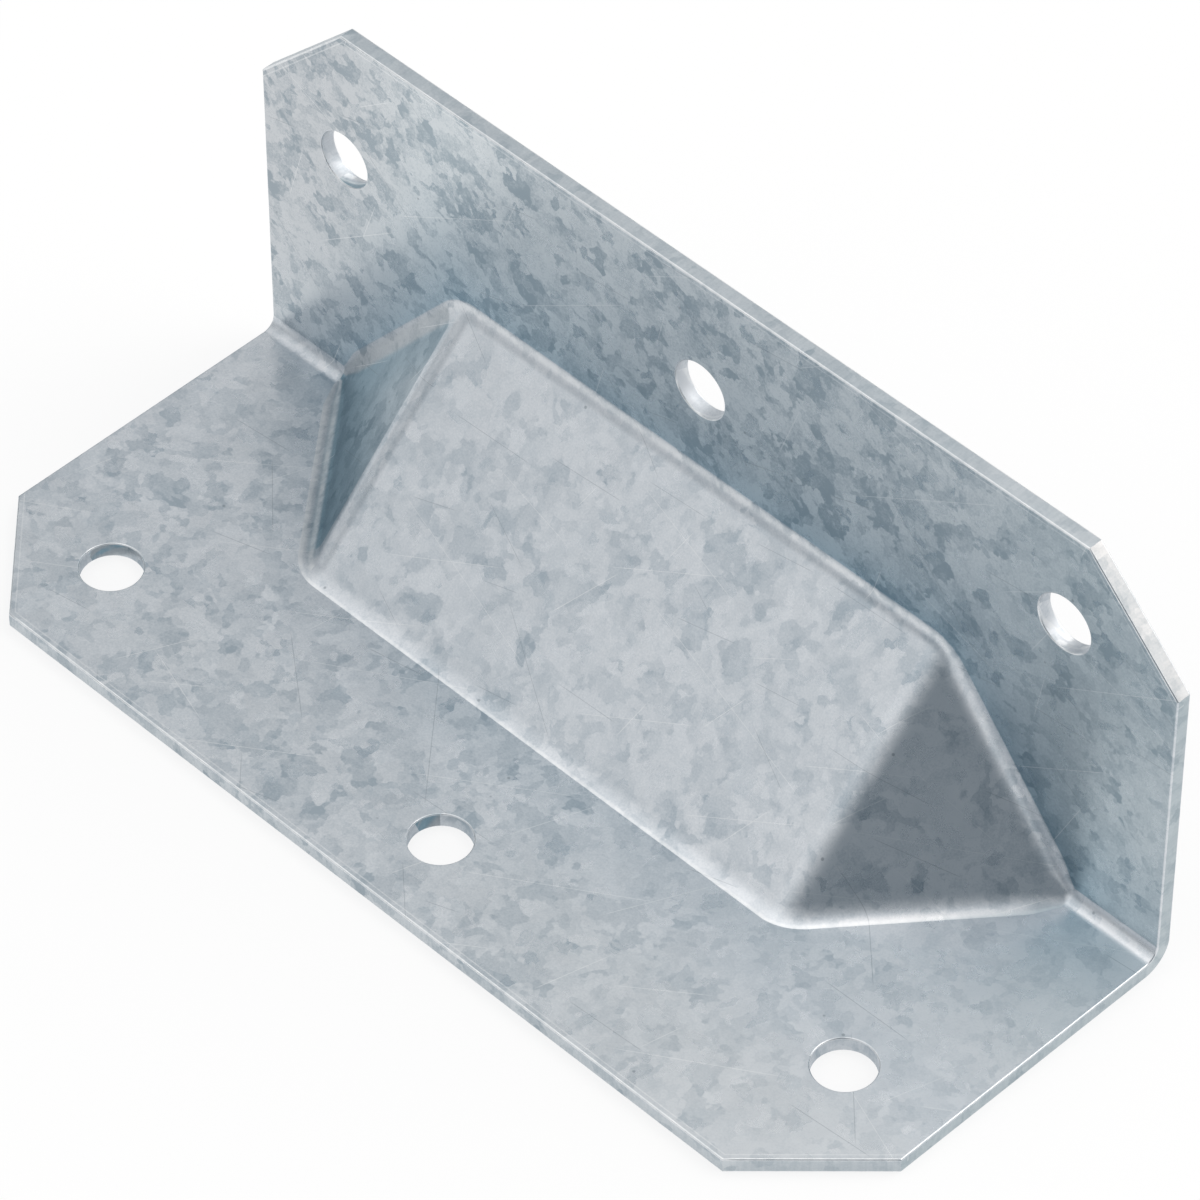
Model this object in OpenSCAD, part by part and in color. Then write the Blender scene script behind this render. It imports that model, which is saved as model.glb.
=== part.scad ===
// Folded steel angle with a pressed gusset in its corner and three screw holes in each flange.
// X runs along the fold, the bracket lies on its XY plane and its back face stands at +Y.

/* [Sheet] */
// Thickness of the sheet
sheet_t = 1.2; // [0.8:0.1:1.8]
// Length along the fold
bracket_l = 82.55; // [60:0.05:150]
// Width of the lying flange, from the outer back face
lying_w = 32.8; // [30:0.1:60]
// Height of the standing flange, from the underside
standing_h = 32.8; // [30:0.1:60]
// Radius inside the fold
bend_r = 1; // [0.6:0.1:1.5]
// Leg of the 45 degree cut on the free corners of both flanges
corner_cut = 7.9; // [2:0.1:9]

/* [Gusset] */
// Leg of the gusset's slope along each flange, from the inside corner
gusset_leg = 14.7; // [12:0.1:16]
// End of the bracket to the sharp foot of the side facet, on the fold
foot_in = 7; // [5.5:0.1:12]
// Run of the side facet along the fold, from its foot to the ridge
facet_run = 12.3; // [8:0.1:16]
// Outer radius of the two ridges
ridge_r = 2.9; // [2:0.1:4]
// Radius of the hollow fillet between the gusset and the flanges
fillet_r = 1.9; // [1.6:0.1:2.5]
// Length over which the fillet runs out into the fold at each foot
run_out = 2.4; // [2:0.1:4]

/* [Screw holes] */
// Diameter of every hole
hole_d = 4.4; // [3:0.1:5.5]
// End hole near the fold (lying right, standing left), from the end of the bracket
near_hole_in = 7.9; // [6:0.1:12]
// End hole near the fold, from the other flange's outer face
near_hole_out = 21.8; // [21:0.1:24]
// End hole far from the fold (lying left, standing right), from the end of the bracket
far_hole_in = 9.5; // [6:0.1:12]
// End hole far from the fold, from the other flange's outer face
far_hole_out = 25; // [23:0.1:26]
// Middle hole of the lying flange, right of the middle
lying_middle_x = 1.6; // [-10:0.1:10]
// Middle hole of the lying flange, from the back face
lying_middle_out = 26.5; // [22:0.1:27]
// Middle hole of the standing flange, right of the middle
standing_middle_x = 0; // [-10:0.1:10]
// Middle hole of the standing flange, from the underside
standing_middle_out = 23.35; // [22:0.05:27]

/* [Hidden] */

// Steps in each half of a fillet, in a ridge and in a run-out
arc_steps = 6;
ridge_steps = 8;
run_steps = 5;
// How far the pressed piece's fold stays inside the true arcs at its two ends
arc_inset = 0.002;
// Flat sheet around the gusset that belongs to the pressed piece
skirt = 0.8;
// Strip of slope that is left where the gusset meets the plain fold, as a share of bend_r
toe_strip = 0.06;
// How far cutting tools reach past the sheet
clear = 1;

end_x = bracket_l / 2;
foot_x = end_x - foot_in;
ridge_x = foot_x - facet_run;
// The slope's distance from the inside corner line, and the turn from slope to side facet
slope_rise = gusset_leg / sqrt(2);
facet_turn = atan2(slope_rise, facet_run);
// Where the ridge arc leaves the slope
ridge_start = ridge_x - ridge_r * tan(facet_turn / 2);
// The facet ends where the ball that rolls along it fits the plain fold
toe_rise = bend_r * (sqrt(2) + toe_strip - cos(facet_turn));
toe_x = foot_x - toe_rise / tan(facet_turn);
toe_centre = toe_x + bend_r * sin(facet_turn);
// Half length and reach of the window in the plain sheet that the pressed piece fills
window_x = toe_centre + bend_r;
window_u = gusset_leg + fillet_r * (sqrt(2) - 1) + skirt;

near_hole_x = end_x - near_hole_in;
far_hole_x = end_x - far_hole_in;
lying_holes = [
    [-far_hole_x, far_hole_out],
    [lying_middle_x, lying_middle_out],
    [near_hole_x, near_hole_out],
];
standing_holes = [
    [-near_hole_x, near_hole_out],
    [standing_middle_x, standing_middle_out],
    [far_hole_x, far_hole_out],
];

// The gusset is worked out in x, u and v: u runs out along the lying flange from the
// standing flange's inner face, v runs up from the lying flange's upper face.
function place(p) = [p[0], -sheet_t - p[1], sheet_t + p[2]];

// A station holds x, rise of the crest above the corner line, turn of its normal, fillet radius
ridge_stations = [
    for (i = [0 : ridge_steps])
        let (turn = facet_turn * i / ridge_steps)
        [
            ridge_start + ridge_r * sin(turn),
            slope_rise - ridge_r * (1 - cos(turn)),
            turn,
            fillet_r
        ]
];
function eased(f) = f * f * (3 - 2 * f);
run_stations = [
    for (i = [0 : run_steps])
        let (x = toe_x - run_out * (1 - i / run_steps))
        [
            x,
            toe_rise + (toe_x - x) * tan(facet_turn),
            facet_turn,
            fillet_r + (bend_r - fillet_r) * eased(i / run_steps)
        ]
];
right_stations = concat(ridge_stations, run_stations);
left_stations = [
    for (i = [len(right_stations) - 1 : -1 : 0])
        let (s = right_stations[i])
        [-s[0], s[1], -s[2], s[3]]
];

function swing(a, b, angle, f) = (sin((1 - f) * angle) * a + sin(f * angle) * b) / sin(angle);

// One cross line of the pressed piece, at depth 0 on the seen face or sheet_t behind it
function gusset_line(s, depth) =
    let (
        n = [sin(s[2]), cos(s[2]) / sqrt(2), cos(s[2]) / sqrt(2)],
        r = s[3],
        x = s[0] + r * n[0],
        far = sqrt(2) * (s[1] + r * cos(s[2])) - r,
        spread = acos(n[2]),
        steps = [for (i = [0 : arc_steps]) i / arc_steps]
    )
    concat(
        [[x, window_u, -depth]],
        [for (f = steps) [x, far, r] + (r + depth) * swing([0, 0, -1], -n, spread, f)],
        [for (f = steps) [x, r, far] + (r + depth) * swing(-n, [0, -1, 0], spread, f)],
        [[x, -depth, window_u]]
    );

// The plain fold's cross line: outside the inner arc and inside the outer one
function fold_line(x, depth) =
    let (
        last = 2 * arc_steps + 1,
        step = depth > 0 ? 90 / last : 90 / (last + 1),
        start = depth > 0 ? 0 : step / 2,
        touch = depth > 0 ? bend_r + depth : bend_r / cos(step / 2),
        inset = depth > 0 ? -arc_inset : arc_inset
    )
    concat(
        [[x, window_u, -depth]],
        [
            for (i = [0 : last])
                let (
                    a = start + i * step,
                    reach = touch + (i == 0 || i == last ? 0 : inset)
                )
                [x, bend_r - reach * sin(a), bend_r - reach * cos(a)]
        ],
        [[x, -depth, window_u]]
    );

function skin(depth) = concat(
    fold_line(-window_x, depth),
    [for (s = concat(left_stations, right_stations)) each gusset_line(s, depth)],
    fold_line(window_x, depth)
);

module pressed_gusset() {
    width = 2 * arc_steps + 4;
    rows = len(left_stations) + len(right_stations) + 2;
    behind = rows * width;
    points = [for (p = concat(skin(0), skin(sheet_t))) place(p)];
    cells = [for (i = [0 : rows - 2], j = [0 : width - 2]) i * width + j];
    seen = [for (k = cells) each [[k, k + 1, k + width + 1], [k, k + width + 1, k + width]]];
    hidden = [
        for (k = cells)
            let (b = behind + k)
            each [[b, b + width + 1, b + 1], [b, b + width, b + width + 1]]
    ];
    front = [
        for (i = [0 : rows - 2])
            let (k = i * width)
            each [[k, k + width, behind + k + width], [k, behind + k + width, behind + k]]
    ];
    top = [
        for (i = [1 : rows - 1])
            let (k = i * width - 1, b = behind + k)
            each [[b, b + width, k + width], [b, k + width, k]]
    ];
    left_end = [
        for (j = [0 : width - 2])
            let (b = behind + j)
            each [[j, b, b + 1], [j, b + 1, j + 1]]
    ];
    right_end = [
        for (j = [0 : width - 2])
            let (k = behind - width + j, b = behind + k)
            each [[k, k + 1, b + 1], [k, b + 1, b]]
    ];
    polyhedron(points, concat(seen, hidden, front, top, left_end, right_end));
}

module fold_section() {
    centre = sheet_t + bend_r;
    translate([-lying_w, 0])
        square([lying_w - centre, sheet_t]);
    translate([-sheet_t, centre])
        square([sheet_t, standing_h - centre]);
    intersection() {
        translate([-centre, centre])
            difference() {
                circle(r = centre, $fn = 96);
                circle(r = bend_r, $fn = 96);
            }
        translate([-centre, 0])
            square(centre);
    }
}

// A 45 degree cut across both end corners of a flange whose free edge lies at y = edge
module corner_cutter(edge) {
    for (side = [0, 1])
        mirror([side, 0, 0])
            linear_extrude(sheet_t + 2 * clear, center = true)
                polygon([
                    [end_x - corner_cut, edge],
                    [end_x + clear, edge - corner_cut - clear],
                    [end_x + clear, edge + clear],
                    [end_x - corner_cut, edge + clear],
                ]);
}

// Moves a flat cutter, drawn with y outward from the back face or underside, onto a flange
module on_lying() {
    translate([0, 0, sheet_t / 2])
        mirror([0, 1, 0])
            children();
}

module on_standing() {
    translate([0, -sheet_t / 2, 0])
        rotate([90, 0, 0])
            children();
}

module hole_cutters(places) {
    for (p = places)
        translate(p)
            cylinder(d = hole_d, h = sheet_t + 2 * clear, center = true, $fn = 64);
}

module plain_angle() {
    difference() {
        rotate([90, 0, 90])
            linear_extrude(bracket_l, center = true)
                fold_section();
        on_lying()
            corner_cutter(lying_w);
        on_standing()
            corner_cutter(standing_h);
    }
}

module gusset_window() {
    reach = sheet_t + window_u;
    translate([-window_x, -reach, -clear])
        cube([2 * window_x, reach + clear, reach + clear]);
}

module bracket() {
    color("silver")
        translate([0, lying_w / 2, 0])
            difference() {
                union() {
                    difference() {
                        plain_angle();
                        gusset_window();
                    }
                    pressed_gusset();
                }
                on_lying()
                    hole_cutters(lying_holes);
                on_standing()
                    hole_cutters(standing_holes);
            }
}

bracket();
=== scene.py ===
import math

import bpy
from mathutils import Matrix, Vector


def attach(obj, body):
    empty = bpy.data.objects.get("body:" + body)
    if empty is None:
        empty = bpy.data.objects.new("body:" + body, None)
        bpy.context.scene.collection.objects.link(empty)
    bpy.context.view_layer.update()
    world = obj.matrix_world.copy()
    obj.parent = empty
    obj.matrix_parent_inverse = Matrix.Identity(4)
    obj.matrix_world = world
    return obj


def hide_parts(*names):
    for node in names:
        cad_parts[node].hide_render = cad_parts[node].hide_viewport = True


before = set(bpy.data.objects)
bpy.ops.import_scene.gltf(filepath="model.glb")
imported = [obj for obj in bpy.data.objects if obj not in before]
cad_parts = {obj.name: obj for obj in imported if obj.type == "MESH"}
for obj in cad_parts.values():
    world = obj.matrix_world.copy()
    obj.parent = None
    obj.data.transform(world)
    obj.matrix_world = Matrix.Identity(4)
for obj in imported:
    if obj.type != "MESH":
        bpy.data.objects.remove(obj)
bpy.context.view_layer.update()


# The camera.
# A long lens from the front right, looking down at the inside of the angle.

camera = bpy.data.objects.new("camera", bpy.data.cameras.new("camera"))
bpy.context.collection.objects.link(camera)
camera_back = Vector((0.49286, -0.49123, 0.71818)).normalized()
camera_right = Vector((0, 0, 1)).cross(camera_back).normalized()
camera_up = camera_back.cross(camera_right)
camera_turn = Matrix((camera_right, camera_up, camera_back)).transposed().to_4x4()
camera.matrix_world = Matrix.Translation((0.23406, -0.22718, 0.35159)) @ camera_turn
camera.data.lens = 218.65
camera.data.sensor_width = 36
camera.data.clip_start = 0.01
camera.data.clip_end = 20
bpy.context.scene.camera = camera


# The bracket.
# One sheet of hot-dip galvanised steel, blanked, pierced with six holes and struck once in a
# press, which folds it and pushes the gusset out of the corner. It stands on its lying flange.


class Sum:
    """A socket in a tree of nodes. Arithmetic on it adds the Math nodes that work it out."""

    def __init__(self, bench, socket):
        self.bench = bench
        self.socket = socket

    def maths(self, operation, *others):
        """A Math node that takes this value first and the others after it."""
        values = dict(enumerate((self, *others)))
        return self.bench.node("ShaderNodeMath", {"operation": operation}, values)

    def out(self, name):
        """Another output of the same node."""
        return Sum(self.bench, self.socket.node.outputs[name])

    def __add__(self, other):
        return self.maths("ADD", other)

    __radd__ = __add__

    def __sub__(self, other):
        return self.maths("SUBTRACT", other)

    def __rsub__(self, other):
        return self.maths("MULTIPLY_ADD", -1, other)

    def __neg__(self):
        return self.maths("MULTIPLY", -1)

    def __mul__(self, other):
        return self.maths("MULTIPLY", other)

    __rmul__ = __mul__

    def __truediv__(self, other):
        return self.maths("DIVIDE", other)

    def __mod__(self, other):
        return self.maths("FLOORED_MODULO", other)

    def __abs__(self):
        return self.maths("ABSOLUTE")

    def __gt__(self, other):
        return self.maths("GREATER_THAN", other)

    def __lt__(self, other):
        return self.maths("LESS_THAN", other)

    def clamped(self):
        """Held between 0 and 1."""
        held = self + 0
        held.socket.node.use_clamp = True
        return held

    def toward(self, other, share):
        """This value where share is 0, the other where it is 1."""
        return self + (other - self) * share


def sin(value):
    return value.maths("SINE")


def cos(value):
    return value.maths("COSINE")


def largest(value, *others):
    """The largest of the values, the first of which is a Sum."""
    for other in others:
        value = value.maths("MAXIMUM", other)
    return value


class Bench:
    """A tree of nodes that is being built, and the one way to put a node in it."""

    def __init__(self, tree):
        self.tree = tree

    def node(self, kind, settings=None, sockets=None, result=0):
        """Adds a node, sets it up, fills or links its sockets and gives one of its outputs."""
        made = self.tree.nodes.new(kind)
        for name, value in (settings or {}).items():
            if isinstance(value, list):
                for item in value:
                    getattr(made, name).new(*item)
            else:
                setattr(made, name, value)
        by_identifier = {s.identifier: s for s in made.inputs}
        for name, value in (sockets or {}).items():
            socket = by_identifier[name] if name in by_identifier else made.inputs[name]
            if isinstance(value, Sum):
                self.tree.links.new(value.socket, socket)
            else:
                socket.default_value = value
        if not made.outputs:
            return made
        outputs = {s.identifier: s for s in made.outputs}
        return Sum(self, outputs[result] if result in outputs else made.outputs[result])

    def vectors(self, operation, *values, **named):
        sockets = {**dict(enumerate(values)), **named}
        return self.node("ShaderNodeVectorMath", {"operation": operation}, sockets)

    def vector(self, x, y, z):
        return self.node("ShaderNodeCombineXYZ", {}, {"X": x, "Y": y, "Z": z})

    def split(self, vector):
        x = self.node("ShaderNodeSeparateXYZ", {}, {0: vector})
        return x, x.out("Y"), x.out("Z")


# All in metres
sheet_sizes = {
    "Thickness": 0.0012,
    "Length": 0.08255,
    "Flange width": 0.0328,
    "Bend radius": 0.001,
    "Corner cut": 0.0079,
    "Arris": 0.00012,
    "Gusset leg": 0.0147,
    "Gusset foot from end": 0.007,
    "Side facet run": 0.0123,
    "Ridge radius": 0.0029,
    "Fillet radius": 0.0019,
    "Fillet run-out": 0.0012,
    "Hole diameter": 0.0044,
    "Hole roll-over": 0.0001,
}
# Each hole's middle: along the fold, and outward from the other flange's outer face
hole_places = {
    "Lying left hole": (-0.031775, 0.025, 0),
    "Lying middle hole": (0.0016, 0.0265, 0),
    "Lying right hole": (0.033375, 0.0218, 0),
    "Standing left hole": (-0.033375, 0.0218, 0),
    "Standing middle hole": (0, 0.02335, 0),
    "Standing right hole": (0.031775, 0.025, 0),
}
input_kinds = {
    **{name: "NodeSocketFloat" for name in sheet_sizes},
    **{name: "NodeSocketVector" for name in hole_places},
    "Finish": "NodeSocketMaterial",
}

press = bpy.data.node_groups.new("pressed sheet", "GeometryNodeTree")
press.interface.new_socket("Sheet", in_out="OUTPUT", socket_type="NodeSocketGeometry")
press_inputs = {
    name: press.interface.new_socket(name, in_out="INPUT", socket_type=kind)
    for name, kind in input_kinds.items()
}
bench = Bench(press)
given = bench.node("NodeGroupInput")
thick, length, width, bend, cut, arris, leg, foot_in, run, ridge, fillet, run_out, hole, roll = [
    given.out(name) for name in sheet_sizes
]

# Cross lines of the sheet from the middle to an end: on the slope, over the ridge, down the
# side facet, round the foot, along the plain fold, round the end's arris, into the end face
row_counts = [6, 14, 26, 12, 4, 4, 1]
half_rows = sum(row_counts)
# Half a cross line: round the free edge's arris, then half the fillet between flange and gusset
arris_steps = 4
arc_steps = 14
half_loop = 2 * arris_steps + 2 * arc_steps + 3
loop = 2 * half_loop + 2

flat = bench.node(
    "GeometryNodeMeshGrid",
    {},
    {
        "Size X": 2 * half_rows,
        "Size Y": loop,
        "Vertices X": 2 * half_rows + 1,
        "Vertices Y": loop + 1,
    },
)
across, around, _ = bench.split(bench.node("GeometryNodeInputPosition"))
row = abs(across)
side = across.maths("SIGN")
# How far along each of these stretches a cross line lies: 0 before it, 1 past it
on_slope, on_ridge, on_facet, on_foot, on_fold, on_end, on_cap = [
    ((row - sum(row_counts[:i])) / count).clamped() for i, count in enumerate(row_counts)
]

end_x = length / 2
foot_x = end_x - foot_in
ridge_x = foot_x - run
rise = leg / math.sqrt(2)
facet_turn = rise.maths("ARCTAN2", run)
ridge_start = ridge_x - ridge * (facet_turn / 2).maths("TANGENT")
facet_start = ridge_start + (ridge + fillet) * sin(facet_turn)
facet_end = foot_x + bend * (1 - math.sqrt(2) * cos(facet_turn)) / sin(facet_turn)
quarter = math.pi / 2

# Middle of the ball that rolls in the fillet: its place along the fold, radius and height. On
# the side facet the cross lines lie closer together toward the foot.
turn = facet_turn * (on_ridge - on_foot)
ball_x = (
    ridge_start * on_slope
    + (ridge + fillet) * sin(facet_turn * on_ridge)
    + (facet_end - facet_start) * on_facet * (1.6 - 0.6 * on_facet)
    + (end_x - arris - facet_end) * on_fold
    + arris * sin(quarter * on_end)
)
fading = ((ball_x - facet_end + run_out) / run_out).clamped()
ball = fillet.toward(bend, fading * fading * (3 - 2 * fading))
over_ridge = rise - ridge + (ridge + ball) * cos(turn)
to_foot = foot_x - ball_x.maths("MINIMUM", facet_end)
over_facet = (ball + to_foot * sin(facet_turn)) / cos(facet_turn)
crest = over_ridge.toward(over_facet, on_facet > 0)

# Place on the cross line: 0 at the gusset's side of the fillet, then the flange, then its edge
step = (around + loop / 2).maths("ROUND") % loop
behind = step > half_loop + 0.5
step = step + behind * (2 * half_loop + 1 - 2 * step)
from_middle = abs(step - half_loop / 2) - 0.5
standing = step > half_loop / 2
swing = (1 - from_middle / arc_steps).clamped()
at_edge = from_middle > arc_steps + 0.5
round_edge = ((from_middle - arc_steps - 1) / arris_steps).clamped()

end_angle = quarter * on_end
edge_angle = end_angle + (quarter - end_angle) * round_edge
sunk = (arris * (1 - cos(edge_angle))).toward(thick / 2, on_cap)
depth = sunk + behind * (thick - 2 * sunk)

spread = (cos(turn) / math.sqrt(2)).maths("ARCCOSINE")
pull = sin(swing * spread) / sin(spread)
rest = sin((1 - swing) * spread) / sin(spread)
reach = ball + depth
arc_x = ball_x - reach * pull * sin(turn)
arc_far = math.sqrt(2) * crest - ball - reach * pull * cos(turn) / math.sqrt(2)
arc_near = ball - reach * (rest + pull * cos(turn) / math.sqrt(2))

# The free edge is spaced evenly, with one cross line exactly at the start of the corner cut
cut_x = end_x - cut
rows_to_foot = sum(row_counts[:3])
rows_to_end = sum(row_counts[3:5])
edge_x = (
    cut_x * (row / rows_to_foot).clamped()
    + (cut - arris) * ((row - rows_to_foot) / rows_to_end).clamped()
    + arris * sin(end_angle)
)
past_cut = largest(edge_x - cut_x, 0)
slant = 1 + (math.sqrt(2) - 1) * (past_cut > 1e-6)
edge_far = width - thick - past_cut - arris * slant * (1 - sin(edge_angle))

x = side * arc_x.toward(edge_x, at_edge)
far = arc_far.toward(edge_far, at_edge)
near = arc_near.toward(-depth, at_edge)
outward = far.toward(near, standing)
upward = near.toward(far, standing)

# For the finish: what the shear cut and rounded, and how far round a fillet or a ridge it lies
marks = bench.node(
    "GeometryNodeCaptureAttribute",
    {
        "domain": "POINT",
        "capture_items": [("FLOAT", "Wall"), ("FLOAT", "Fillet"), ("FLOAT", "Ridge")],
    },
    {"Geometry": flat, "Wall": largest(round_edge, on_end), "Fillet": swing, "Ridge": on_ridge},
)
wall = marks.out("Wall")
marked = bench.node(
    "GeometryNodeSetPosition",
    {},
    {"Geometry": marks, "Position": bench.vector(x, width / 2 - thick - outward, thick + upward)},
)


def stored(geometry, *notes):
    """Keeps values on the mesh for the finish, each with the domain and name it goes under."""
    for domain, name, value in notes:
        geometry = bench.node(
            "GeometryNodeStoreNamedAttribute",
            {"data_type": "FLOAT", "domain": domain},
            {"Geometry": geometry, "Name": name, "Value": value},
        )
    return geometry


marked = stored(
    marked,
    ("FACE", "sheared", wall > 0.99),
    ("FACE", "arris", (wall > 0.01) - (wall > 0.99)),
    ("POINT", "fillet", marks.out("Fillet")),
    ("POINT", "ridge", marks.out("Ridge")),
)
closed = bench.node("GeometryNodeMergeByDistance", {}, {"Geometry": marked, "Distance": 1e-7})

# The punch, flared at both ends to the roll-over that it leaves at the rims. Its first step
# from the middle is the bore, its last one runs on past the sheet's face at the same slope.
punch_steps = 6
past_height = 0.00005
past_radius = 0.00024
punch = bench.node(
    "GeometryNodeMeshCylinder",
    {"fill_type": "NGON"},
    {
        "Vertices": 72,
        "Side Segments": 2 * punch_steps,
        "Fill Segments": 1,
        "Radius": 1,
        "Depth": 2 * punch_steps,
    },
    result="Mesh",
)
punch_x, punch_y, punch_step = bench.split(bench.node("GeometryNodeInputPosition"))
flare = ((abs(punch_step) - 1) / (punch_steps - 2)).clamped() * math.radians(78)
past = (abs(punch_step) - (punch_steps - 1)).clamped()
height = (thick / 2 - roll) * abs(punch_step).clamped() + roll * sin(flare) + past_height * past
radius = hole / 2 + roll * (1 - cos(flare)) + past_radius * past
punch = bench.node(
    "GeometryNodeCaptureAttribute",
    {"domain": "POINT", "capture_items": [("FLOAT", "Step")]},
    {"Geometry": punch, "Step": punch_step},
)
from_bore = abs(punch.out("Step"))
punch = bench.node(
    "GeometryNodeSetPosition",
    {},
    {
        "Geometry": punch,
        "Position": bench.vector(
            punch_x * radius, punch_y * radius, punch_step.maths("SIGN") * height
        ),
    },
)
punch = stored(
    punch,
    ("FACE", "sheared", from_bore < 1),
    ("FACE", "bored", from_bore < 1),
    ("FACE", "arris", from_bore > 1),
)
spots = bench.node("GeometryNodePoints", {}, {"Count": len(hole_places)})
spot = bench.node("GeometryNodeInputIndex")
# The switch comes with two places and gets the rest here
place = bench.node(
    "GeometryNodeIndexSwitch",
    {"data_type": "VECTOR", "index_switch_items": [()] * (len(hole_places) - 2)},
    {"Index": spot, **{str(i): given.out(name) for i, name in enumerate(hole_places)}},
)
hole_x, hole_out, _ = bench.split(place)
in_standing = spot > 2.5
spots = bench.node(
    "GeometryNodeSetPosition",
    {},
    {
        "Geometry": spots,
        "Position": bench.vector(
            hole_x,
            (width / 2 - hole_out).toward(width / 2 - thick / 2, in_standing),
            (thick / 2).toward(hole_out, in_standing),
        ),
    },
)
punches = bench.node(
    "GeometryNodeInstanceOnPoints",
    {},
    {"Points": spots, "Instance": punch, "Rotation": bench.vector(quarter * in_standing, 0, 0)},
)
punches = bench.node("GeometryNodeRealizeInstances", {}, {"Geometry": punches})
pierced = bench.node(
    "GeometryNodeMeshBoolean",
    {"operation": "DIFFERENCE", "solver": "EXACT"},
    {"Mesh 1": closed, "Mesh 2": punches},
)
smooth = bench.node("GeometryNodeSetShadeSmooth", {}, {"Geometry": pierced, "Shade Smooth": True})
crease = bench.node("GeometryNodeInputMeshEdgeAngle")
smooth = bench.node(
    "GeometryNodeSetShadeSmooth",
    {"domain": "EDGE"},
    {"Geometry": smooth, "Selection": crease > math.radians(30), "Shade Smooth": False},
)
whole = bench.node("GeometryNodeRealizeInstances", {}, {"Geometry": smooth})
finished = bench.node(
    "GeometryNodeSetMaterial", {}, {"Geometry": whole, "Material": given.out("Finish")}
)
bench.node("NodeGroupOutput", {}, {"Sheet": finished})


def cleared(owner):
    """A bench on the emptied tree of a material or a world."""
    owner.use_nodes = True
    owner.node_tree.nodes.clear()
    return Bench(owner.node_tree)


# The finish: zinc that froze into lobed spangles, a little bluer and darker in some than in
# others. From here on lengths are in millimetres.
zinc = bpy.data.materials.new("spangled zinc")
bench = cleared(zinc)
mm = {name: 1000 * value for name, value in sheet_sizes.items()}
end = mm["Length"] / 2
outer_back = mm["Flange width"] / 2
inner_back = outer_back - mm["Thickness"]
foot = end - mm["Gusset foot from end"]
at = bench.vectors("SCALE", bench.node("ShaderNodeTexCoord").out("Object"), Scale=1000)
across, depthwise, upward = bench.split(at)
facing = bench.node("ShaderNodeNewGeometry").out("Normal")
facing_x, facing_y, facing_z = bench.split(facing)


def mark(name):
    return bench.node("ShaderNodeAttribute", {"attribute_name": name}, result="Fac")


def noise(where, scale, detail, rough, result="Fac"):
    sockets = {"Vector": where, "Scale": scale, "Detail": detail, "Roughness": rough}
    return bench.node("ShaderNodeTexNoise", {}, sockets, result=result)


def cells(feature, where, scale):
    sockets = {"Vector": where, "Scale": scale, "Randomness": 1.0}
    return bench.node("ShaderNodeTexVoronoi", {"feature": feature}, sockets)


def ramp(value, low, high):
    """0 below low, 1 above high, and eased between the two."""
    return bench.node(
        "ShaderNodeMapRange",
        {"interpolation_type": "SMOOTHSTEP", "clamp": True},
        {"Value": value, "From Min": low, "From Max": high},
    )


def mixed(a, b, share, blend="MIX"):
    return bench.node(
        "ShaderNodeMix",
        {"data_type": "RGBA", "blend_type": blend},
        {"Factor_Float": share, "A_Color": a, "B_Color": b},
        result="Result_Color",
    )


def tinted(colour, *tints):
    """The colour times each tint, as far as the tint's share says."""
    for tint, share in tints:
        colour = mixed(colour, tint, share, "MULTIPLY")
    return colour


# Where on the sheet it is: 1 there and 0 elsewhere, or eased between the two. The fillet's mark
# runs from 0 at the flange to 1 on the gusset, the ridge's from 0 on the slope to 1 on a facet.
sheared = mark("sheared")
bored = mark("bored")
arris = mark("arris")
on_fillet = mark("fillet")
on_ridge = mark("ridge")
standing = ramp(-facing_y, 0.9, 0.99)
lying = ramp(facing_z, 0.9, 0.99)
inside = (facing_z - facing_y) > 0
lying_side = facing_z > -facing_y
# The gusset's feet run out a little farther on, at 34.3
on_gusset = (abs(across) < 34) * inside
mid_fillet = 4 * on_fillet * (1 - on_fillet)
standing_flat = standing * (depthwise > inner_back - 0.4) * (1 - ramp(on_fillet, 0, 0.08))
in_back = depthwise > inner_back - 0.1

# Small lobes, each of which takes its look from the spangle that its middle lies in
wander = bench.vectors("MULTIPLY_ADD", noise(at, 0.25, 1.0, 0.5, "Color"), (2.0, 2.0, 2.0), at)
wander = bench.vectors("MULTIPLY_ADD", noise(at, 1.3, 1.0, 0.5, "Color"), (0.5, 0.5, 0.5), wander)
lobe = cells("F1", wander, 2.4)
next_lobe = cells("F2", wander, 2.4)
past_border = 0.5 - 0.5 * ramp(next_lobe - lobe, 0, 0.3 + 0.45 * on_fillet)


def spangles(scale, apart):
    """Three random values for each spangle, soft across the borders."""
    near, far = [
        cells("F1", bench.vectors("ADD", one.out("Position"), (apart, 0, 0)), scale).out("Color")
        for one in (lobe, next_lobe)
    ]
    return bench.split(mixed(near, far, past_border))


def darker_few(value):
    """Turns evenly spread values into mostly light ones with a few dark, down to -1."""
    return -(1 - value) * (1 - value) * (1 - value)


large_r, large_g, large_b = spangles(0.58, 0)
small_r, small_g, small_b = spangles(1.15, 50)
mottle = noise(at, 1.8, 3.0, 0.6) - 0.5
grit = noise(at, 7.0, 2.0, 0.6) - 0.5
cloud = noise(at, 0.09, 2.0, 0.5) - 0.5
# Marks that the shears and the punch leave across the sheet's thickness
shear_grain = bench.vector(
    across, depthwise * (1 - 0.94 * in_back), upward * (0.06 + 0.94 * in_back)
)
shear_marks = noise(shear_grain, 4.5, 2.0, 0.6) - 0.5
# Streaks where the punch drew the gusset out, up its slope
drawn = noise(bench.vector(across, 0.25 * depthwise, 0.25 * upward), 1.6, 2.0, 0.6) - 0.5

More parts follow.
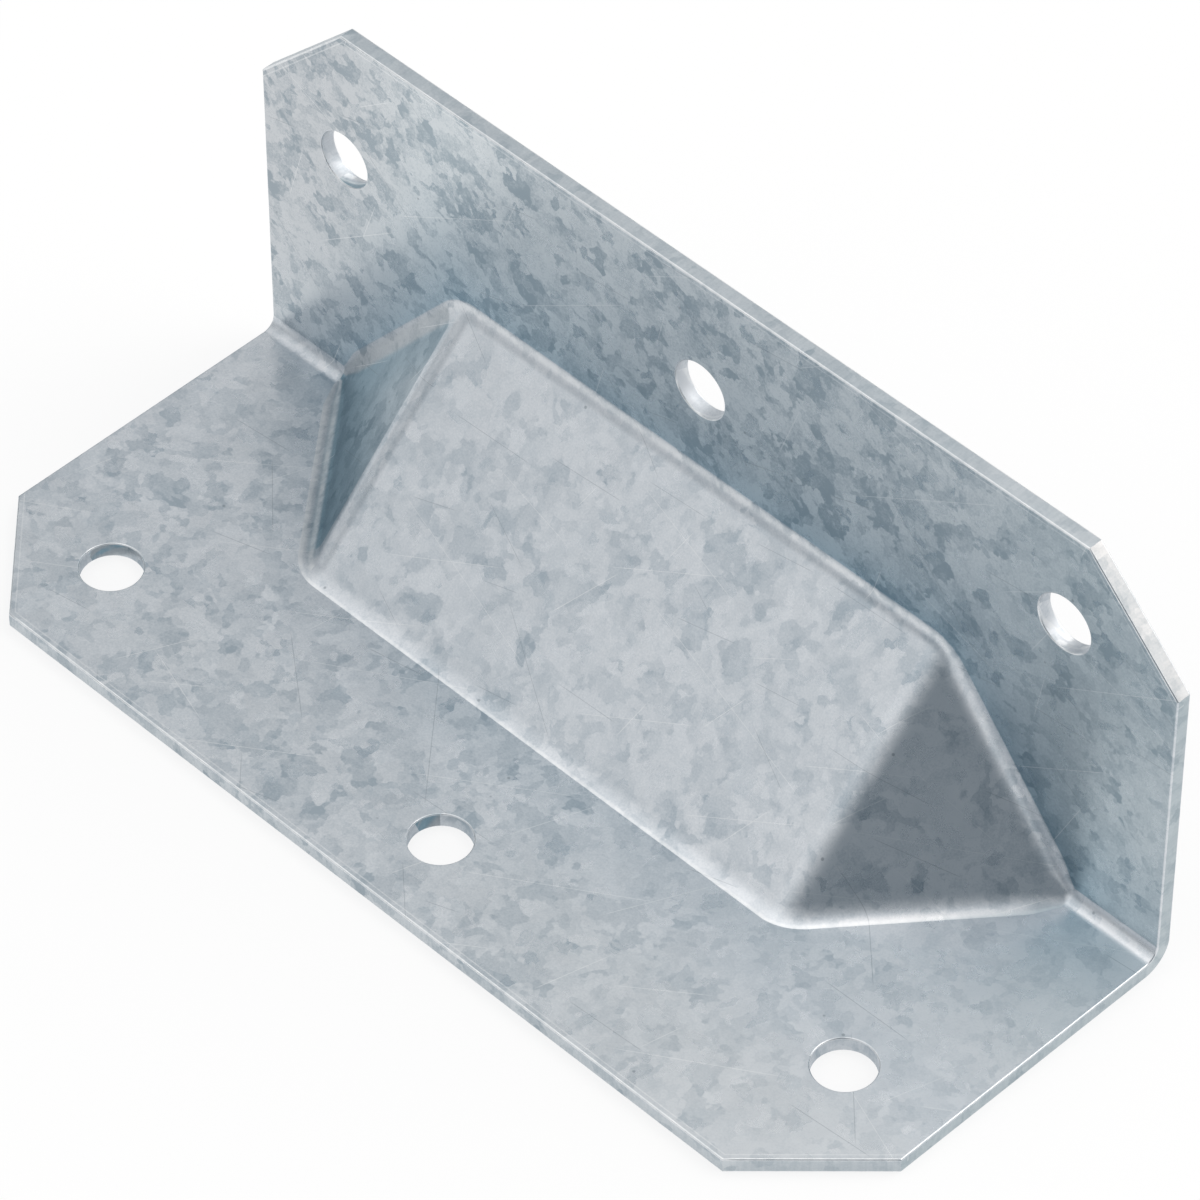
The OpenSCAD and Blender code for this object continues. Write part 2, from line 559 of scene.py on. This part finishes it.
# How strongly the spangles stand out
contrast = (
    (1 + standing * (0.85 - 0.5 * ramp(across, 10, 32)))
    * (1 - 0.3 * sheared)
    * (1 + on_fillet * (0.3 * on_ridge - 0.05) * on_gusset)
    * (1 + lying * (0.12 - 0.4 * ramp(across, 0, 32)))
)
spangle_tone = 0.47 * darker_few(large_r) + 0.42 * darker_few(small_r) + 0.21
grain_tone = 0.24 * mottle + 0.75 * grit + 0.2 * cloud
# How light the zinc is: 0 is dark and blue. Painted highlights make the fillets, the fold's right
# end, the lying flange's right and the right facet lighter; painted light makes the standing
# flange's bores lighter and painted shade makes the other bores darker.
tone = (
    0.62
    + contrast * (spangle_tone + grain_tone)
    + mid_fillet * (0.08 - 0.14 * ramp(across, 16, 26) + 0.42 * (across > 35))
    + 0.25 * lying * ramp(across, 10, 36)
    + 0.24 * on_gusset * ramp(facing_x, 0.3, 0.6)
    + 0.25 * drawn * on_gusset * on_fillet
    + bored * (0.35 * in_back - 0.22)
    + 0.55 * sheared * shear_marks
).clamped()
zinc_colour = mixed((0.390, 0.455, 0.508, 1), (0.705, 0.735, 0.768, 1), tone)

# On the standing flange, how far outside the gusset's outline: its top line and its side lines.
# There painted shade makes the zinc darker and bluer near the gusset and in the corner above it,
# with a painted shadow beside its right ridge; toward both ends the flange is a little darker.
above = upward - mm["Thickness"]
leg, run = mm["Gusset leg"], mm["Side facet run"]
past_side = ((abs(across) - foot) * leg + above * run) / math.hypot(leg, run)
outside = largest(above - leg, past_side, 0)
shade_near_gusset = (-0.25 * outside).maths("EXPONENT")
corner = (-0.55 * outside).maths("EXPONENT") * ramp(across, 4, 18)
# Painted shadow beside the gusset's right ridge
beside = ramp(across, 21, 26) * (1 - ramp(across, 28, 33)) * (1 - ramp(outside, 2, 7))
standing_shade_tint = mixed((0.955, 0.975, 0.965, 1), (0.69, 0.84, 0.90, 1), shade_near_gusset)
zinc_colour = tinted(
    zinc_colour,
    (standing_shade_tint, standing_flat),
    ((0.78, 0.84, 0.87, 1), standing_flat * corner),
    ((0.87, 0.855, 0.86, 1), standing_flat * ramp(-across, 22, 36)),
    ((0.875, 0.915, 0.925, 1), standing_flat * ramp(across, 22, 36)),
    ((0.76, 0.78, 0.80, 1), standing_flat * beside),
)
# Painted sheen makes the lying flange lighter beside the gusset's right foot; toward its free edge
# it is a little darker
foot_sheen = lying * ramp(across, 20, 30) * ramp(depthwise, -4, 3) * (1 - ramp(depthwise, 7, 13))
free_side = lying * ramp(-depthwise, 3, 11) * (0.4 + 0.6 * ramp(across, -10, 25))
zinc_colour = tinted(
    zinc_colour,
    ((1.18, 1.135, 1.105, 1), foot_sheen),
    ((0.915, 0.92, 0.915, 1), free_side),
)
# Painted shade makes the gusset's left side darker and blue, most of all low down and deep in the
# corner; it is rougher there too
past_ridge = 0.3 * ramp(on_ridge, 0.6, 0.8) + 0.7 * ramp(on_ridge, 0.9, 1.0)
off_fillet = ramp(on_fillet, 0.2 * lying_side, 0.3 + 0.3 * lying_side)
upper_fillet = (1 - lying_side) * (1 - ramp(on_fillet, 0.65, 0.92))
dull_and_shaded_side = on_gusset * (across < 0) * past_ridge * off_fillet * (1 - 0.28 * upper_fillet)
out_of_corner = (0.6 + 0.5 * ramp(inner_back - depthwise, 1.5, 4.5)).clamped()
high_up = ramp(upward, 2, 11) * out_of_corner
left_shade_tint = mixed((0.48, 0.64, 0.71, 1), (0.68, 0.75, 0.78, 1), high_up)
left_shade_tint = mixed(left_shade_tint, (0.66, 0.69, 0.70, 1), upper_fillet)
# The outer faces are a little darker, and painted shade makes the hollow behind the gusset darker
# still
outer = (1 - inside) * (1 - sheared) * (1 - arris)
outer_shade_tint = mixed((0.88, 0.90, 0.91, 1), (0.66, 0.72, 0.76, 1), ramp(on_fillet, 0.2, 1.0))
zinc_colour = tinted(zinc_colour, (left_shade_tint, dull_and_shaded_side), (outer_shade_tint, outer))


def scratches(turned, length, apart, thin):
    """Straight fine lines, one in each cell of a grid laid on the sheet before it was folded."""
    unfolded = depthwise + upward
    along = across * math.cos(turned) + unfolded * math.sin(turned)
    aside = unfolded * math.cos(turned) - across * math.sin(turned)
    lane = (aside / apart).maths("FLOOR")
    stretch = along / length + lane * 0.37
    chances = bench.node(
        "ShaderNodeTexWhiteNoise",
        {"noise_dimensions": "3D"},
        {"Vector": bench.vector(stretch.maths("FLOOR"), lane, turned)},
        result="Color",
    )
    chance_r, chance_g, chance_b = bench.split(chances)
    within = stretch.maths("FRACT")
    middle = (0.2 + 0.6 * chance_r + 0.3 * (within - 0.5) * (chance_g - 0.5)) * apart
    line = 1 - ramp(abs(aside - lane * apart - middle), 0.3 * thin, thin)
    first, last = 0.5 * chance_g, 0.5 + 0.4 * chance_b
    ends = ramp(within, first, first + 0.1) * (1 - ramp(within, last, last + 0.1))
    return line * ends * (chance_b > 0.3)


bright_line = largest(
    scratches(0.61, 17, 7, 0.04),
    scratches(-0.35, 23, 11, 0.035),
    scratches(1.25, 9, 11, 0.04),
)
dark_line = largest(scratches(-0.72, 14, 12, 0.04), scratches(0.2, 8, 10, 0.045))
speck = 1 - ramp(cells("F1", at, 0.3) + 0.03 * mottle, 0.02, 0.045)
not_sheared = 1 - sheared
zinc_colour = mixed(zinc_colour, (0.86, 0.875, 0.88, 1), 0.45 * bright_line * not_sheared)
dark_marks = largest(0.35 * dark_line, 0.55 * speck) * not_sheared
zinc_colour = mixed(zinc_colour, (0.20, 0.24, 0.27, 1), dark_marks)

# The shears leave their faces a little darker; painted light makes the cut corners, which face up,
# lighter and warmer, and painted shade makes the ends darker and bluer
shear_tint = mixed((0.88, 0.90, 0.90, 1), (0.78, 0.83, 0.83, 1), ramp(facing_x, 0.8, 0.95))
shear_tint = mixed(shear_tint, (0.98, 0.94, 0.90, 1), ramp(facing_x * facing_z, 0.3, 0.45))
zinc_colour = tinted(zinc_colour, (shear_tint, sheared * (1 - bored)))

# Lighter lines, partly rubbed wear and partly painted highlight: the arrises, a line inside them, a
# fillet's border, and a line in the left facet's lower fillet
out = largest(upward, outer_back - depthwise)
from_free_edge = mm["Flange width"] - out
from_cut = (end + mm["Flange width"] - mm["Corner cut"] - abs(across) - out) / math.sqrt(2)
from_edge = from_free_edge.maths("MINIMUM", from_cut)
edge_line = (1 - ramp(abs(from_edge - 0.42), 0.02, 0.07)) * inside
# Painted highlight lines along a fillet's borders and in the left facet's lower fillet
lower_border = ramp(on_fillet, 0.01, 0.04) * (1 - ramp(on_fillet, 0.12, 0.25))
upper_border = ramp(on_fillet, 0.05, 0.2) * (1 - ramp(on_fillet, 0.35, 0.6)) * (1 - 0.75 * on_ridge)
border = upper_border.toward(lower_border, lying_side) * on_gusset
left_line = ramp(on_fillet, 0.34, 0.50) * (1 - ramp(on_fillet, 0.56, 0.76)) * lying_side
left_line = left_line * on_gusset * (across < -22)
arris_wear_and_glint = arris * (0.58 - 0.4 * (abs(across) > end - 0.175))
rubbed_and_highlit = largest(arris_wear_and_glint, 0.45 * border, 0.35 * edge_line, 0.6 * left_line)
rubbed_and_highlit = (rubbed_and_highlit * (0.9 + 1.6 * mottle)).clamped()
zinc_colour = mixed(zinc_colour, (0.90, 0.915, 0.92, 1), rubbed_and_highlit)


def lean(x, y, z, most):
    """A slight slope of its own for each spangle, from its three random values."""
    from_middle = bench.vectors("SUBTRACT", bench.vector(x, y, z), (0.5, 0.5, 0.5))
    return bench.vectors("SCALE", from_middle, Scale=most)


# The spangles' slopes make them lighter or darker in the light. The die's edge leaves a fillet
# steeper at its border with the flange than its arc is.
inward = 1 - on_fillet
steep = (0.12 + 0.08 * lying_side) * inward * inward.maths("SQRT")
steep = steep * ramp(on_fillet, 0, 0.04) * on_gusset
off_flange = bench.vectors(
    "NORMALIZE", bench.vector(facing_x, facing_y * lying_side, facing_z * (1 - lying_side))
)
leaning = facing
for slope in (
    lean(large_b, large_g, large_r, 0.02),
    lean(small_g, small_b, small_r, 0.015),
    bench.vectors("SCALE", off_flange, Scale=steep),
):
    leaning = bench.vectors("ADD", leaning, slope)
skin = bench.node(
    "ShaderNodeBump",
    {},
    {
        "Strength": 0.15,
        "Distance": 0.00002,
        "Height": mottle,
        "Normal": bench.vectors("NORMALIZE", leaning),
    },
)
roughness = (
    0.29
    + 0.05 * (small_b - 0.5)
    + 0.14 * dull_and_shaded_side
    + 0.13 * mid_fillet * (1 - ramp(across, 0, 26))
    + 0.12 * sheared
    + 0.15 * bored
)
shader = bench.node(
    "ShaderNodeBsdfPrincipled",
    {},
    {"Base Color": zinc_colour, "Metallic": 1.0, "Roughness": roughness, "Normal": skin},
)
bench.node("ShaderNodeOutputMaterial", {}, {"Surface": shader})

bracket = bpy.data.objects.new("bracket_sheet", bpy.data.meshes.new("sheet blank"))
bpy.context.collection.objects.link(bracket)
strike = bracket.modifiers.new("strike", "NODES")
strike.node_group = press
for name, value in {**sheet_sizes, **hole_places, "Finish": zinc}.items():
    strike[press_inputs[name].identifier] = value
even = bracket.modifiers.new("even", "WEIGHTED_NORMAL")
even.mode = "FACE_AREA"
even.weight = 50
even.keep_sharp = True
graph = bpy.context.evaluated_depsgraph_get()
sheet = bpy.data.meshes.new_from_object(
    bracket.evaluated_get(graph), preserve_all_data_layers=True, depsgraph=graph
)
bracket.modifiers.clear()
bracket.data = sheet
# The grid brings an empty slot before the finish
while sheet.materials[0] is None:
    sheet.materials.pop(index=0)

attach(bracket, "root")
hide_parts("bracket")


# The floor and the light.
# A sheet of white paper, which the camera sees as nearly pure white with a faint shadow, in a
# dim blue-grey room with nine soft boxes.

floor = bpy.data.objects.new("floor", bpy.data.meshes.new("floor"))
bpy.context.collection.objects.link(floor)
floor.data.from_pydata([(-4, -4, 0), (4, -4, 0), (4, 4, 0), (-4, 4, 0)], [], [(0, 1, 2, 3)])
paper = bpy.data.materials.new("white paper")
bench = cleared(paper)
# To the camera and in the metal it mostly glows, so it looks white; elsewhere it is matt paper
sight = bench.node("ShaderNodeLightPath")
seen = (sight + sight.out("Is Glossy Ray") + sight.out("Is Transmission Ray")).clamped()
shade = 0.8 + 0.2 * seen
grey = bench.node("ShaderNodeCombineColor", {}, {0: shade, 1: shade, 2: shade})
surface = bench.node(
    "ShaderNodeMixShader",
    {},
    {
        "Fac": 0.8 * seen,
        1: bench.node("ShaderNodeBsdfDiffuse", {}, {"Color": grey}),
        2: bench.node("ShaderNodeEmission", {}, {"Color": (1, 1, 1, 1), "Strength": 1.0}),
    },
)
bench.node("ShaderNodeOutputMaterial", {}, {"Surface": surface})
floor.data.materials.append(paper)

room = bpy.data.worlds.new("room")
bpy.context.scene.world = room
bench = cleared(room)
toward = bench.node("ShaderNodeTexCoord").out("Generated")
boxes = 0
# Each soft box: its azimuth and elevation in degrees, its narrowness and its strength
for azimuth, elevation, narrow, strength in (
    (54, 38, 9, 2.02),
    (90, 12, 9, 1.12),
    (72, 64, 9, 0.78),
    (144, 64, 9, 0.49),
    (216, 64, 9, 0.88),
    (240, 12, 9, 0.18),
    (270, 38, 9, 0.57),
    (-155, 10, 40, 0.58),
    (-120, 28, 40, 0.31),
):
    a, e = math.radians(azimuth), math.radians(elevation)
    axis = (math.cos(a) * math.cos(e), math.sin(a) * math.cos(e), math.sin(e))
    off_axis = narrow * (bench.vectors("DOT_PRODUCT", toward, axis).out("Value") - 1)
    boxes = boxes + strength * off_axis.maths("EXPONENT")
box_light, room_light = [
    bench.node("ShaderNodeBackground", {}, {"Color": colour, "Strength": strength})
    for colour, strength in (((1.06, 1.01, 0.97, 1), boxes), ((0.180, 0.215, 0.243, 1), 1.0))
]
sky = bench.node("ShaderNodeAddShader", {}, {0: box_light, 1: room_light})
bench.node("ShaderNodeOutputWorld", {}, {"Surface": sky})
bpy.context.scene.view_settings.view_transform = "Standard"
